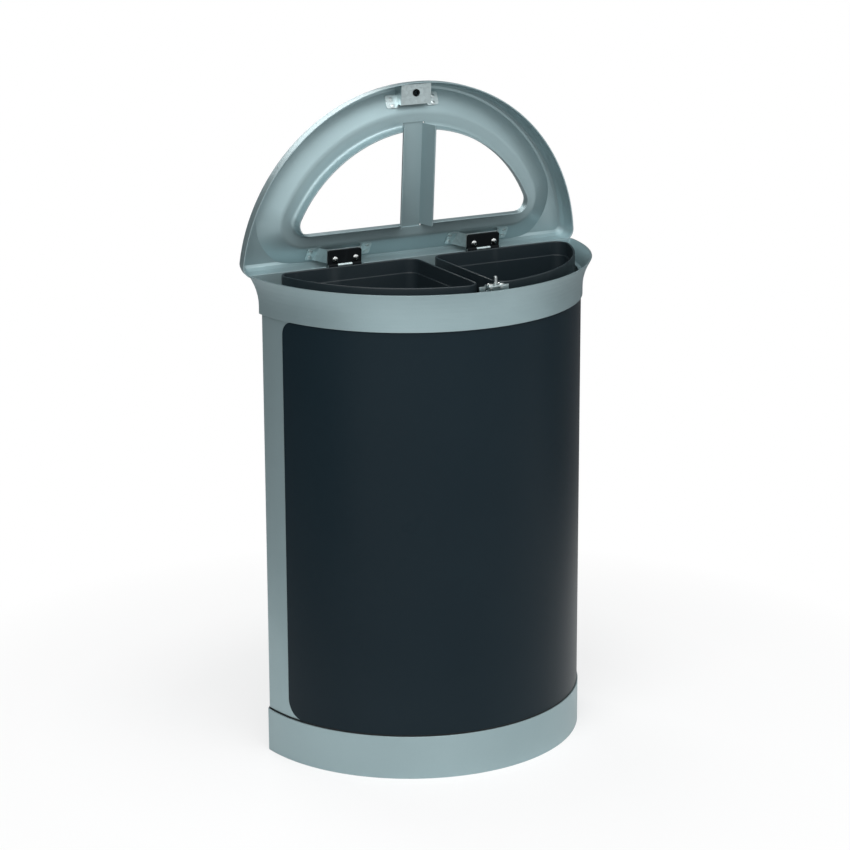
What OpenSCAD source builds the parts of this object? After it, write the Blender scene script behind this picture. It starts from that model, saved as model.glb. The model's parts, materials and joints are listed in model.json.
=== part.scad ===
// Half-round litter bin for two waste streams, with its lid standing open.
// The flat back is the plane y = 0, the round front faces -Y and the floor is z = 0.
// All round walls share one centre line, which stands a little behind the flat back.

/* [Plan] */
// Radius of the plinth's round front
front_r = 305; // [290:1:320]
// How far the common centre line stands behind the flat back
centre_set = 20.5; // [10:0.5:30]
// Radius of the upright corners between the round front and the flat back
back_corner = 8; // [6:1:12]

/* [Plinth] */
// Height of the plinth
plinth_h = 78; // [60:1:100]
// Sheet of the plinth
plinth_wall = 2.5; // [1.5:0.5:3]
// Width of the flanges turned in at the plinth's top and bottom
plinth_flange = 20; // [16:1:24]
// Height of the black trim strip between plinth and shell
trim_h = 2.5; // [1.5:0.5:4]
// How far the trim strip stays inside the plinth's face
trim_step = 1.8; // [1:0.1:2.5]

/* [Levelling glides] */
// Radius of a glide's pad
pad_r = 15; // [12:1:17]
// Thickness of a glide's pad
pad_h = 8; // [6:1:10]
// Height of a drawn-in pad above the floor
pad_lift = 1; // [0.5:0.5:2]
// Width of the bevel round a pad's foot
pad_bevel = 1; // [0.5:0.5:2]
// Gap between a pad and the plinth's bottom flange
pad_gap = 7; // [4:1:10]
// Radius of a glide's threaded stem
stem_r = 4; // [3:0.5:5]
// Length of a glide's stem above its pad
stem_h = 38; // [36:1:42]
// Depth of the stem's seat in its pad
stem_seat = 4; // [2:0.5:5]
// Width and depth of the slot across a stem's top
stem_slot = 2; // [1:0.5:2.5]
// Height of the carrying face of a glide bracket above the floor
bracket_top = 27; // [26:0.5:28]
// Width of a glide bracket
bracket_w = 42; // [38:1:46]
// Sheet of the glide brackets
bracket_wall = 3; // [2:0.5:4]
// Depth of a glide bracket's side flanges
bracket_side = 14; // [10:1:15]
// Half the width of a glide's nut across its corners
nut_r = 7.5; // [6:0.5:9]
// Height of a glide's nut
nut_h = 6; // [4:0.5:6]
// Angle between the middle of the front and a front glide
glide_front = 34; // [25:1:40]
// Angle between the middle of the front and a back glide
glide_rear = 74; // [66:1:75]

/* [Shell] */
// How far the shell stays inside the plinth's face
shell_step = 3; // [2.5:0.5:4]
// Sheet of the shell and the back panel
shell_wall = 1.5; // [1:0.5:2]
// Height of the shell above the trim strip
shell_h = 755.5; // [700:0.5:800]
// Width of the shell's returns on the flat back, with their corners
shell_return = 34; // [30:1:40]
// How far the back panel laps behind the returns
panel_lap = 20; // [14:1:22]
// Number of rivets down each side of the back panel
back_rivet_count = 6; // [4:1:8]
// Distance of the first and last rivet from the shell's ends
back_rivet_end = 60; // [50:5:80]
// Sheet of the floor pan
pan_wall = 2; // [1.5:0.5:3]
// Height of the floor pan's upturned rim
pan_rim = 25; // [15:1:35]
// Distance of the floor bolts from the shell's face
bolt_inset = 11; // [10.5:0.5:12]

/* [Front panel] */
// Sheet of the dark front panel
panel_wall = 1.2; // [0.8:0.1:1.2]
// Half of the angle that the front panel wraps
panel_angle = 73.5; // [60:0.5:76]
// Radius of the front panel's upper corners
panel_top_corner = 25; // [10:1:30]
// Radius of the front panel's lower corners
panel_low_corner = 35; // [10:1:40]

/* [Collar] */
// Height of the collar
collar_h = 67; // [60:1:80]
// How far the collar covers the top of the shell
collar_cover = 34; // [30:1:36]
// Sheet of the collar
collar_wall = 2.5; // [2:0.5:2.5]
// How far the collar's mouth flares out beyond its foot
collar_flare = 16; // [12:1:18]
// Height of the plain foot below the flare
collar_foot = 14; // [8:1:20]
// Radius of the collar's upright corners at its foot
collar_corner = 8; // [6:1:10]
// Distance of the collar's seat, which stands on the shell, inwards from the mouth
collar_seat = 22.5; // [22:0.1:22.8]
// Height of the collar's rivets below the top of the shell
collar_rivet_drop = 17; // [14:1:20]

/* [Liners] */
// Radius of a liner's round wall
liner_r = 292; // [284:1:293]
// Distance of a liner's flat back from the flat back of the bin
liner_back = 29; // [28.5:0.5:34]
// Half of the space between the two liners
liner_split = 15; // [13:1:16]
// How far the liners stand above the collar's mouth
liner_rise = 6; // [3:0.5:7]
// Wall of a liner
liner_wall = 3.5; // [2.5:0.5:4]
// Height of the wide band round a liner's mouth
liner_band = 28; // [20:1:34]
// How far the band stands proud of the wall below it
liner_proud = 3; // [2:0.5:3.5]
// How far a liner's wall leans in from its band down to its floor
liner_draft = 7; // [3:1:8]
// Radius of the bend between a liner's wall and its floor
liner_bend = 10; // [7:1:10]
// Radius of a liner's upright corners at the mouth
liner_corner = 24; // [23:1:28]
// Radius of the roundings on a liner's top edge
liner_edge = 1.4; // [0.8:0.1:1.6]

/* [Lid] */
// Angle at which the lid stands open
open_angle = 85.5; // [75:0.5:88]
// Radius of the lid's round edge
lid_r = 330; // [326:1:334]
// Gap between the closed lid and the collar's mouth
lid_gap = 5; // [4:0.5:6]
// Height of the lid's wall
lid_h = 35; // [32:1:38]
// Sheet of the lid
lid_wall = 2; // [1.5:0.5:2]
// How far the rounded shoulder draws the lid's top in
lid_shoulder = 14; // [10:1:18]
// Radius of the lid's upright back corners
lid_corner = 21.5; // [20:0.5:26]
// Gap between the lid's back wall and the hinge knuckles
lid_clear = 1; // [0.8:0.1:1.5]
// Radius of the round side of the opening
hole_r = 247; // [243:1:250]
// Distance of the opening from the flat back
hole_back = 57; // [56:1:60]
// Radius of the opening's corners
hole_corner = 20; // [16:1:28]
// How far the opening's lip hangs below the lid's edge
lip_drop = 7; // [4:1:8]
// Height of the flat land round the opening above the lid's edge
land_h = 15; // [13:1:16]
// Width of the flat land round the opening, with its bend into the lip
land_w = 23; // [22:1:25]
// Radius of the bend from the land into the lip
lip_bend = 9; // [7:1:10]
// Length of the bends at the foot and the head of the sloping top
slope_bend = 4; // [2:0.5:5]

/* [Divider bar] */
// Half width of the divider bar's web
bar_web = 19; // [16:1:21]
// Half width of the divider bar over its splayed flanges
bar_half = 32; // [28:1:34]
// Depth of the divider bar's flanges
bar_depth = 28; // [24:1:29]
// Sheet of the divider bar
bar_wall = 2; // [1.5:0.5:2.5]
// How far the divider bar's web laps over the flat land at either end
bar_lap = 12; // [9:1:13]
// How far the divider bar's flanges run past the opening
bar_tab = 6; // [3:0.5:7]

/* [Hinges] */
// Distance of the hinge line in front of the outside of the collar's back
pin_set = 0.8; // [0.5:0.1:1.2]
// Distance of each hinge from the middle of the bin
hinge_x = 137.5; // [110:0.5:150]
// Length of a hinge
hinge_len = 63; // [58:1:68]
// Length of the knuckle between the two outer ones
knuckle_len = 28; // [24:1:32]
// Outside radius of the knuckles
knuckle_r = 4.5; // [4.2:0.1:4.6]
// Gap between a knuckle and what stands before it
knuckle_gap = 0.6; // [0.5:0.1:1]
// Radius of the hinge pins
pin_r = 2.5; // [2:0.1:2.6]
// Thickness of the moulded hinge leaf
leaf_wall = 5; // [4:0.5:5]
// Reach of the moulded hinge leaf from the hinge line
leaf_reach = 28; // [26:0.5:28]
// Radius of a hinge leaf's outer corners
leaf_corner = 4; // [2:0.5:5]
// Half of the distance between a hinge leaf's two screws
leaf_pitch = 20; // [18:0.5:22]
// Distance of a hinge leaf's screws from the hinge line
leaf_screw_set = 12; // [11:0.5:15]
// Depth of the notches in the collar's back
notch_h = 12; // [10:1:14]
// Width of the notches beyond each end of a hinge
notch_side = 4.5; // [3:0.5:6]
// Sheet of the hinge straps
strap_wall = 2; // [1.5:0.5:2]
// Half of the distance between a strap's two rivets
strap_pitch = 7; // [6:0.5:8]
// Height of a strap's rivets above its foot
strap_rivet_rise = 8; // [6:0.5:9]

/* [Lid brackets] */
// Sheet of the brackets
hat_wall = 2; // [1.5:0.5:2]
// How far a hinge bracket's crown is wider and longer than its leaf
hat_side = 1; // [0.5:0.5:1]
// Slant of a hinge bracket's cheeks
hat_slant = 29; // [20:1:35]
// Distance of the near end of a hinge bracket's ears from its middle
ear_at = 41; // [39:1:42]
// Distance of the far end of a hinge bracket's ears from its middle
ear_end = 62; // [60:1:66]
// Distance of the ears' near edge from the opening
ear_from = 30; // [29.5:0.5:32]
// Length of the ears up the slope
ear_l = 23; // [20:1:25]
// Radius of the ears' corners
ear_corner = 4; // [2:0.5:5]
// Distance of the ears' rivets from the ears' far ends
ear_inset = 7; // [5:0.5:8]
// Half of the distance between an ear's two rivets
ear_pitch = 5.5; // [4.5:0.5:6.5]
// Half width of the striker box on the lid
striker_half = 29; // [27:1:30]
// Half width of the striker box over its ears
striker_ears = 51; // [49:1:52]
// Distance of the striker box from the opening
striker_from = 42; // [40:1:44]
// Distance of the striker's ears from the opening
striker_ear_from = 36; // [35:1:38]
// Length of the striker's ears up the slope
striker_ear_l = 21; // [18:1:22]
// Length of the striker box from front to back
striker_l = 36; // [33:1:37]
// Height of the striker box's face above the lid's edge
striker_z = 8; // [7:0.5:9]

/* [Catch] */
// Distance of the catch stud in front of the flat back
stud_set = 289; // [287.5:0.5:290]
// Radius of the catch stud
stud_r = 3; // [2.5:0.5:3.5]
// Height of the catch stud above its shelf
stud_h = 15; // [13:1:16]
// Play round the stud in the striker's bush
stud_play = 1; // [0.8:0.1:1.2]
// Wall of the striker's bush
bush_wall = 1; // [0.8:0.1:1.2]
// Width and thickness of the striker bush's flanges
bush_flange = 1.5; // [1.2:0.1:1.7]
// Sheet of the catch bracket
catch_wall = 2; // [1.5:0.5:2]
// Half width of the catch bracket
catch_half = 28; // [25:1:30]
// Half width of the shelf under the catch stud
shelf_half = 17; // [16:1:20]
// Height of the shelf above the collar's mouth
shelf_rise = 8; // [7:0.5:8]
// How far the shelf reaches beyond the stud
shelf_reach = 8; // [7:0.5:9]
// How far the bracket's wings stay below the shelf
wing_drop = 3; // [2:0.5:5]
// Half of the distance between the catch's two screws
catch_pitch = 10; // [9.5:0.5:11]
// Radius of the small hole in the catch bracket
wing_hole_r = 2; // [1.5:0.5:2.5]
// Depth of the small hole below the shelf
wing_hole_drop = 9; // [8:1:12]

/* [Fasteners] */
// Radius of the rivets' shanks
rivet_r = 2; // [1.6:0.1:2.4]
// Radius of the rivets' heads
rivet_head_r = 3.8; // [3.2:0.1:4.2]
// Height of the rivets' heads
rivet_head_h = 1.5; // [1.2:0.1:1.6]
// Radius of the screws' shanks
screw_r = 2.5; // [2:0.1:2.8]
// Radius of the screws' heads
screw_head_r = 5.2; // [4.6:0.1:5.4]
// Height of the screws' heads
screw_head_h = 3; // [2.5:0.1:3]
// Length of a screw's shank beyond its nut
screw_tail = 2; // [1:0.5:3]
// Half the width of a small nut across its corners
small_nut_r = 4.6; // [4:0.1:5]
// Height of a small nut
small_nut_h = 4; // [3:0.5:4]

/* [Hidden] */
$fn = 96;
// Overrun of every cut, running fit and side play
over = 1;
fit_gap = 0.05;
side_gap = 0.3;
// Steps of a bend in a profile
bend_steps = 4;
flare_steps = 6;
// Heights of the stack above the floor
trim_z = plinth_h;
shell_z = plinth_h + trim_h;
shell_top = shell_z + shell_h;
collar_z = shell_top - collar_cover;
flare_z = collar_z + collar_foot;
mouth_z = collar_z + collar_h;
seat_z = shell_top + collar_wall;
lid_z = mouth_z + lid_gap;
floor_z = shell_z + pan_wall;
liner_top = mouth_z + liner_rise;
// Round walls, and the flat backs that go with them
trim_r = front_r - trim_step;
shell_r = front_r - shell_step;
panel_r = shell_r + panel_wall;
collar_r = panel_r + side_gap + collar_wall;
mouth_r = collar_r + collar_flare;
collar_back = side_gap + collar_wall;
pan_r = shell_r - shell_wall - side_gap;
pan_back = -2 * shell_wall - side_gap;
return_x = corner_at(shell_r, 0, back_corner)[0] + back_corner - shell_return;
// Levelling glides
glide_r = front_r - plinth_flange - pad_gap - pad_r;
stem_top = pad_lift + pad_h + stem_h;
// Hinge line, and the faces of the leaf and the bracket beside it
pin_y = collar_back - pin_set;
pin_z = mouth_z;
hat_z = pin_z + leaf_wall / 2;
lid_back = pin_y + knuckle_r + lid_clear + lid_wall;
strap_foot = seat_z + side_gap;
// Slope of the lid's top between its two bends, measured outwards from the opening
slope_from = land_w + slope_bend;
slope_to = lid_r - lid_shoulder - hole_r - slope_bend;
slope = atan2(lid_h - land_h, slope_to - slope_from);
slope_r = slope_bend / tan(slope / 2);
// Divider bar
bar_top = lid_z + land_h + bar_wall;
bar_front = centre_set - hole_r;
bar_splay = atan2(bar_half - bar_web, bar_depth);
// Catch
shelf_z = mouth_z + shelf_rise;
catch_r = flare_r(seat_z) - collar_wall - side_gap;
catch_y = centre_set - sqrt(catch_r * catch_r - catch_half * catch_half);
bush_r = stud_r + stud_play + bush_wall;
// Reach of cutting blocks, past every wall of the bin
far = 4 * front_r;

// Points of an arc about [x, y], from one angle to another
function arc(x, y, r, from, to) =
    [for (i = [0:bend_steps]) let (a = from + (to - from) * i / bend_steps)
        [x + r * cos(a), y + r * sin(a)]];

// Radius of the collar's flare, which opens with the square of the height
function flare_r(z) =
    let (t = (z - flare_z) / (mouth_z - flare_z))
    collar_r + collar_flare * t * t;

// Centre of the rounding between a round wall and a flat back
function corner_at(r, back, corner) =
    let (dy = centre_set - (back - corner))
    [sqrt((r - corner) * (r - corner) - dy * dy), back - corner];

// Centre of the rounding between a round wall and a flat side
function side_at(r, side, corner) =
    let (dx = side + corner)
    [dx, centre_set - sqrt((r - corner) * (r - corner) - dx * dx)];

// Direction from the common centre line to a point
function bearing(p) = atan2(p[1] - centre_set, p[0]);

// Point on a circle about the common centre line, at an angle from the front
function ring_at(r, a) = [r * sin(a), centre_set - r * cos(a)];

// Radius of the sphere whose cap rounds a head over down to half of its height
function dome_r(r, h) = (r * r + (h / 2) * (h / 2)) / h;

// Height of the sloping top's outside above the lid's edge, at a distance from the opening
function slope_h(d) = land_h + (d - slope_from) * tan(slope);

// Moves children to the common centre line
module on_centre() {
    translate([0, centre_set, 0])
        children();
}

// Children as they are and mirrored to the left side
module both_sides() {
    children();
    mirror([1, 0, 0])
        children();
}

// Everything past the upright plane through the common centre line in a direction
module past(direction) {
    on_centre()
        rotate([0, 0, direction])
            translate([-far, 0, -over])
                cube([far + far, far, far]);
}

// Profile swept round a full circle. In the profile x runs inwards from the circle and y
// is height.
module ring_sweep(r) {
    rotate_extrude()
        intersection() {
            translate([r, 0])
                mirror([1, 0])
                    children();
            translate([0, -far])
                square([far, far + far]);
        }
}

// Upright corner that takes a swept profile from the round front to the flat back
module back_bend(c, corner) {
    intersection() {
        translate([c[0], c[1], 0])
            rotate([0, 0, 180])
                ring_sweep(corner)
                    children();
        past(bearing(c));
        translate([c[0], -far, -over])
            cube([far, far + far, far]);
    }
}

// Sweeps a profile along a half-round outline: a round front, two rounded upright
// corners and a flat back
module half_sweep(r, back, corner) {
    c = corner_at(r, back, corner);
    difference() {
        on_centre()
            ring_sweep(r)
                children();
        both_sides()
            past(bearing(c));
    }
    both_sides()
        back_bend(c, corner)
            children();
    translate([-c[0], back, 0])
        rotate([90, 0, 90])
            linear_extrude(2 * c[0])
                mirror([1, 0])
                    children();
}

// Sweeps a profile along a quarter-round outline on the right: as half_sweep, with a
// flat side as well
module quarter_sweep(r, back, side, corner) {
    outer = corner_at(r, back, corner);
    front = side_at(r, side, corner);
    inner = [side + corner, back - corner];
    difference() {
        intersection() {
            on_centre()
                ring_sweep(r)
                    children();
            past(bearing(front));
        }
        past(bearing(outer));
    }
    back_bend(outer, corner)
        children();
    intersection() {
        translate([inner[0], inner[1], 0])
            ring_sweep(corner)
                children();
        translate([inner[0] - far, inner[1], -over])
            cube([far, far, far]);
    }
    difference() {
        intersection() {
            translate([front[0], front[1], 0])
                ring_sweep(corner)
                    children();
            translate([-far, front[1] - far, -over])
                cube([far + far, far, far]);
        }
        past(bearing(front));
    }
    translate([inner[0], back, 0])
        rotate([90, 0, 90])
            linear_extrude(outer[0] - inner[0])
                mirror([1, 0])
                    children();
    translate([side, inner[1], 0])
        rotate([90, 0, 0])
            linear_extrude(inner[1] - front[1])
                children();
}

// What a swept outline leaves open in its middle, between two heights
module core(r, back, side, corner, low, high) {
    intersection() {
        on_centre()
            hole(r - corner + over, low, high);
        translate([side + corner, back - corner - far, low])
            cube([far - side - corner, far, high - low]);
    }
}

// Half-round solid whose outline is drawn in by the inset that skin gives at each height.
// skin lists [height, inset] from the bottom up.
module half_solid(r, back, corner, skin) {
    low = skin[0][0];
    high = skin[len(skin) - 1][0];
    half_sweep(r, back, corner)
        polygon(concat([[corner, low]], [for (s = skin) [s[1], s[0]]], [[corner, high]]));
    core(r, back, -far, corner, low, high);
}

// Half-round prism between two heights
module half_prism(r, back, corner, low, high) {
    half_solid(r, back, corner, [[low, 0], [high, 0]]);
}

// Half-round ring of a given width
module half_ring(r, back, corner, width, low, high) {
    if (width < corner)
        half_sweep(r, back, corner)
            translate([0, low])
                square([width, high - low]);
    else
        difference() {
            half_prism(r, back, corner, low, high);
            half_prism(r - width, back - width, corner / 2, low - over, high + over);
        }
}

// Rounded head standing on z = 0
module head(r, h) {
    intersection() {
        cylinder(r = r, h = h);
        translate([0, 0, h - dome_r(r, h)])
            sphere(r = dome_r(r, h));
    }
}

// Screw along Z: its head stands on z = 0 and its shank hangs below
module screw(grip) {
    head(screw_head_r, screw_head_h);
    translate([0, 0, -grip - small_nut_h - screw_tail])
        cylinder(r = screw_r, h = grip + small_nut_h + screw_tail + screw_head_h / 2);
}

// Hexagon nut standing on z = 0
module nut(r, bore, h) {
    difference() {
        cylinder(r = r, h = h, $fn = 6);
        hole(bore + fit_gap, -over, h + over);
    }
}

// Rivet along Z: its head stands on z = 0 and its tail closes the grip below
module rivet(grip) {
    head(rivet_head_r, rivet_head_h);
    translate([0, 0, -grip - rivet_head_h / 2])
        cylinder(r = rivet_r, h = grip + rivet_head_h);
    translate([0, 0, -grip])
        mirror([0, 0, 1])
            head(rivet_head_r, rivet_head_h);
}

// Round cutter along Z between two heights
module hole(r, low, high) {
    translate([0, 0, low])
        cylinder(r = r, h = high - low);
}

// Plate between two corners, with its upright edges rounded
module plate(from, to, r, low, high) {
    translate([0, 0, low])
        linear_extrude(high - low) {
            translate([from[0] + r, from[1]])
                square([to[0] - from[0] - 2 * r, to[1] - from[1]]);
            translate([from[0], from[1] + r])
                square([to[0] - from[0], to[1] - from[1] - 2 * r]);
            for (x = [from[0] + r, to[0] - r])
                for (y = [from[1] + r, to[1] - r])
                    translate([x, y])
                        circle(r = r);
        }
}

// Children laid with their Z axis along +Y
module facing_back() {
    rotate([-90, 0, 0])
        children();
}

// Places of the floor bolts
module at_bolts() {
    for (a = [-60, -20, 20, 60])
        let (p = ring_at(shell_r - bolt_inset, a))
            translate([p[0], p[1], 0])
                children();
    for (x = [-shell_r / 2, shell_r / 2])
        translate([x, -bolt_inset, 0])
            children();
}

// Place of one glide, with X pointing outwards
module at_glide(a) {
    on_centre()
        rotate([0, 0, a - 90])
            translate([glide_r, 0, 0])
                children();
}

module at_glides() {
    for (a = [-glide_rear, -glide_front, glide_front, glide_rear])
        at_glide(a)
            children();
}

// Rivets that hold the back panel behind the shell's returns, with Z pointing backwards
module at_back_rivets() {
    step = (shell_h - 2 * back_rivet_end) / (back_rivet_count - 1);
    for (i = [0:back_rivet_count - 1])
        both_sides()
            translate([return_x + panel_lap / 2, 0, shell_z + back_rivet_end + i * step])
                facing_back()
                    children();
}

// Rivets that hold the collar's back to the shell's returns, with Z pointing backwards
module at_collar_rivets() {
    both_sides()
        translate([return_x + panel_lap / 2, 0, shell_top - collar_rivet_drop])
            facing_back()
                children();
}

// Middle of each hinge on its line
module at_hinges() {
    for (x = [-hinge_x, hinge_x])
        translate([x, pin_y, pin_z])
            children();
}

// Rivets of the hinge straps on the outside of the collar's back, with Z pointing backwards
module at_strap_rivets() {
    for (x = [-hinge_x, hinge_x])
        for (side = [-strap_pitch, strap_pitch])
            translate([x + side, collar_back, strap_foot + strap_rivet_rise])
                facing_back()
                    children();
}

// Plinth: a rolled sheet with flanges turned in at the top and the bottom
module plinth() {
    color([0.55, 0.61, 0.62])
        difference() {
            union() {
                half_ring(front_r, 0, back_corner, plinth_wall, 0, plinth_h);
                half_ring(front_r, 0, back_corner, plinth_flange, 0, plinth_wall);
                half_ring(front_r, 0, back_corner, plinth_flange,
                    plinth_h - plinth_wall, plinth_h);
            }
            at_bolts()
                hole(screw_r + side_gap, plinth_h - plinth_wall - over, plinth_h + over);
        }
}

// Four brackets inside the plinth, each a channel whose legs stand on the bottom flange
module glide_brackets() {
    out = front_r - glide_r;
    leg = out - plinth_flange + bracket_wall;
    half = bracket_w / 2;
    color([0.62, 0.64, 0.66])
        intersection() {
            half_prism(front_r - plinth_wall, -plinth_wall, back_corner - plinth_wall,
                plinth_wall, plinth_h);
            at_glides()
                difference() {
                    union() {
                        translate([-half, -half, bracket_top - bracket_wall])
                            cube([half + out, bracket_w, bracket_wall]);
                        for (y = [bracket_wall - half, half])
                            translate([0, y, 0])
                                rotate([90, 0, 0])
                                    linear_extrude(bracket_wall)
                                        polygon([[-half, bracket_top],
                                            [-half, bracket_top - bracket_side],
                                            [leg - bracket_side, bracket_top - bracket_side],
                                            [leg, plinth_wall], [out, plinth_wall],
                                            [out, bracket_top]]);
                    }
                    hole(stem_r + fit_gap, 0, plinth_h);
                }
        }
}

module glide_nuts() {
    color([0.72, 0.73, 0.74])
        at_glides()
            translate([0, 0, bracket_top])
                nut(nut_r, stem_r, nut_h);
}

// Threaded stem of a glide, with a slot across its top
module glide_stem(a) {
    color([0.72, 0.73, 0.74])
        at_glide(a)
            difference() {
                hole(stem_r, stem_top - stem_h - stem_seat, stem_top);
                translate([-stem_r - over, -stem_slot / 2, stem_top - stem_slot])
                    cube([2 * (stem_r + over), stem_slot, stem_slot + over]);
            }
}

// Pad of a glide, with a blind seat for the stem and a bevelled foot
module glide_pad(a) {
    color([0.06, 0.06, 0.07])
        at_glide(a)
            difference() {
                translate([0, 0, pad_lift])
                    rotate_extrude()
                        polygon([[0, 0], [pad_r - pad_bevel, 0], [pad_r, pad_bevel],
                            [pad_r, pad_h / 2], [pad_r - pad_h / 2, pad_h], [0, pad_h]]);
                hole(stem_r, stem_top - stem_h - stem_seat, stem_top);
            }
}

module glide_stem_front_left() {
    glide_stem(-glide_front);
}

module glide_stem_front_right() {
    glide_stem(glide_front);
}

module glide_stem_back_left() {
    glide_stem(-glide_rear);
}

module glide_stem_back_right() {
    glide_stem(glide_rear);
}

module glide_pad_front_left() {
    glide_pad(-glide_front);
}

module glide_pad_front_right() {
    glide_pad(glide_front);
}

module glide_pad_back_left() {
    glide_pad(-glide_rear);
}

module glide_pad_back_right() {
    glide_pad(glide_rear);
}

// Black strip between plinth and shell
module trim_strip() {
    color([0.06, 0.06, 0.07])
        difference() {
            half_ring(trim_r, -trim_step, back_corner - trim_step, plinth_flange - trim_step,
                trim_z, shell_z);
            at_bolts()
                hole(screw_r + side_gap, trim_z - over, shell_z + over);
        }
}

// Pan that carries the liners and holds the shell's foot in shape
module floor_pan() {
    corner = back_corner - shell_wall - side_gap;
    color([0.55, 0.61, 0.62])
        difference() {
            half_prism(pan_r, pan_back, corner, shell_z, shell_z + pan_rim);
            half_prism(pan_r - pan_wall, pan_back - pan_wall, corner - pan_wall,
                floor_z, shell_z + pan_rim + over);
            at_bolts()
                hole(screw_r + side_gap, shell_z - over, floor_z + over);
        }
}

module floor_bolts() {
    color([0.72, 0.73, 0.74])
        at_bolts()
            translate([0, 0, floor_z])
                screw(pan_wall + trim_h + plinth_wall);
}

module floor_nuts() {
    color([0.72, 0.73, 0.74])
        at_bolts()
            translate([0, 0, plinth_h - plinth_wall - small_nut_h])
                nut(small_nut_r, screw_r, small_nut_h);
}

// Rolled shell, open at the back between its two returns
module shell() {
    color([0.55, 0.61, 0.62])
        difference() {
            half_ring(shell_r, 0, back_corner, shell_wall, shell_z, shell_top);
            translate([-return_x, -shell_wall - over, shell_z - over])
                cube([2 * return_x, shell_wall + 2 * over, shell_h + 2 * over]);
            at_back_rivets()
                hole(rivet_r, -shell_wall - over, over);
            at_collar_rivets()
                hole(rivet_r, -shell_wall - over, over);
        }
}

module back_panel() {
    color([0.55, 0.61, 0.62])
        difference() {
            translate([-return_x - panel_lap, -2 * shell_wall, shell_z])
                cube([2 * (return_x + panel_lap), shell_wall, shell_h]);
            at_back_rivets()
                hole(rivet_r, -2 * shell_wall - over, over);
            at_collar_rivets()
                hole(rivet_r, -2 * shell_wall - over, over);
        }
}

module back_rivets() {
    color([0.72, 0.73, 0.74])
        at_back_rivets()
            rivet(2 * shell_wall);
}

module collar_rivets() {
    color([0.72, 0.73, 0.74])
        at_collar_rivets()
            translate([0, 0, collar_back])
                rivet(2 * shell_wall + collar_back);
}

// What is cut away outside a rounded corner of the front panel, above an edge or below it
module panel_corner(r, edge, below) {
    inward = 2 * asin(r / panel_r / 2);
    on_centre()
        rotate([0, 0, panel_angle - inward - 90])
            translate([0, 0, edge])
                mirror([0, 0, below])
                    translate([shell_r - 2 * r, 0, -r])
                        difference() {
                            cube([3 * r, 2 * r, 2 * r]);
                            rotate([0, 90, 0])
                                hole(r + fit_gap, -r, 4 * r);
                        }
}

// Dark sheet on the round front, with rounded corners, from the trim to the collar
module front_panel() {
    low = shell_z + side_gap;
    high = collar_z - side_gap;
    color([0.10, 0.12, 0.13])
        difference() {
            on_centre()
                rotate([0, 0, -90 - panel_angle])
                    rotate_extrude(angle = 2 * panel_angle)
                        translate([shell_r, low])
                            square([panel_wall, high - low]);
            both_sides() {
                panel_corner(panel_top_corner, high, 0);
                panel_corner(panel_low_corner, low, 1);
            }
        }
}

// Flare's outside between two heights, or its inside when wall is its sheet, as insets
// from the mouth
function flare(wall, from, to) =
    [for (i = [0:flare_steps]) let (z = from + (to - from) * i / flare_steps)
        [mouth_r - flare_r(z) + wall, z]];

// Back corner of the collar, which flares as the front does and ends at the flat back
module collar_corner_block(back, points) {
    corner = collar_corner + collar_flare;
    c = corner_at(mouth_r, collar_back + collar_flare, corner);
    intersection() {
        back_bend(c, corner)
            polygon(points);
        translate([0, back[0], 0])
            cube([far, back[1] - back[0], mouth_z + over]);
    }
}

// Flared collar with a seat inside, notched at the back for the hinges
module collar() {
    corner = collar_corner + collar_flare;
    c = corner_at(mouth_r, collar_back + collar_flare, corner);
    outer = concat([[collar_flare, collar_z]], flare(0, flare_z, mouth_z));
    ledge = [[collar_seat, seat_z], [collar_seat, shell_top]];
    wall = concat(outer, flare(collar_wall, mouth_z, seat_z), ledge,
        flare(collar_wall, shell_top, flare_z), [[collar_flare + collar_wall, collar_z]]);
    color([0.58, 0.64, 0.65])
        difference() {
            union() {
                difference() {
                    on_centre()
                        ring_sweep(mouth_r)
                            polygon(wall);
                    both_sides()
                        past(bearing(c));
                }
                both_sides() {
                    collar_corner_block([c[1] - corner, collar_back - collar_wall], wall);
                    collar_corner_block([collar_back - collar_wall, collar_back],
                        concat(outer, [[corner, mouth_z], [corner, collar_z]]));
                }
                translate([-c[0], collar_back - collar_wall, collar_z])
                    cube([2 * c[0], collar_wall, collar_h]);
                translate([-c[0], collar_back + collar_flare - collar_seat, shell_top])
                    cube([2 * c[0], collar_seat - collar_flare - collar_wall, seat_z - shell_top]);
            }
            at_hinges()
                translate([-hinge_len / 2 - notch_side, -collar_wall - over, -notch_h])
                    cube([hinge_len + 2 * notch_side, 2 * (collar_wall + over),
                        notch_h + over]);
            at_strap_rivets()
                hole(rivet_r, -collar_wall - over, over);
            at_collar_rivets()
                hole(rivet_r, 0, collar_back + over);
        }
}

// Tapered quarter-round tub with a wide band round its mouth and rounded edges
module liner() {
    band_z = liner_top - liner_band;
    foot = liner_proud + liner_draft + liner_bend;
    edge = liner_edge;
    wall = liner_wall;
    points = concat(
        [[liner_corner, floor_z]],
        arc(foot, floor_z + liner_bend, liner_bend, 270, 180),
        [[liner_proud, band_z], [0, band_z]],
        arc(edge, liner_top - edge, edge, 180, 90),
        arc(wall - edge, liner_top - edge, edge, 90, 0),
        [[wall, band_z + wall], [liner_proud + wall, band_z + wall]],
        arc(foot, floor_z + liner_bend, liner_bend - wall, 180, 270),
        [[liner_corner, floor_z + wall]]);
    color([0.07, 0.08, 0.09]) {
        quarter_sweep(liner_r, -liner_back, liner_split, liner_corner)
            polygon(points);
        core(liner_r, -liner_back, liner_split, liner_corner, floor_z, floor_z + wall);
    }
}

module liner_left() {
    mirror([1, 0, 0])
        liner();
}

module liner_right() {
    liner();
}

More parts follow.
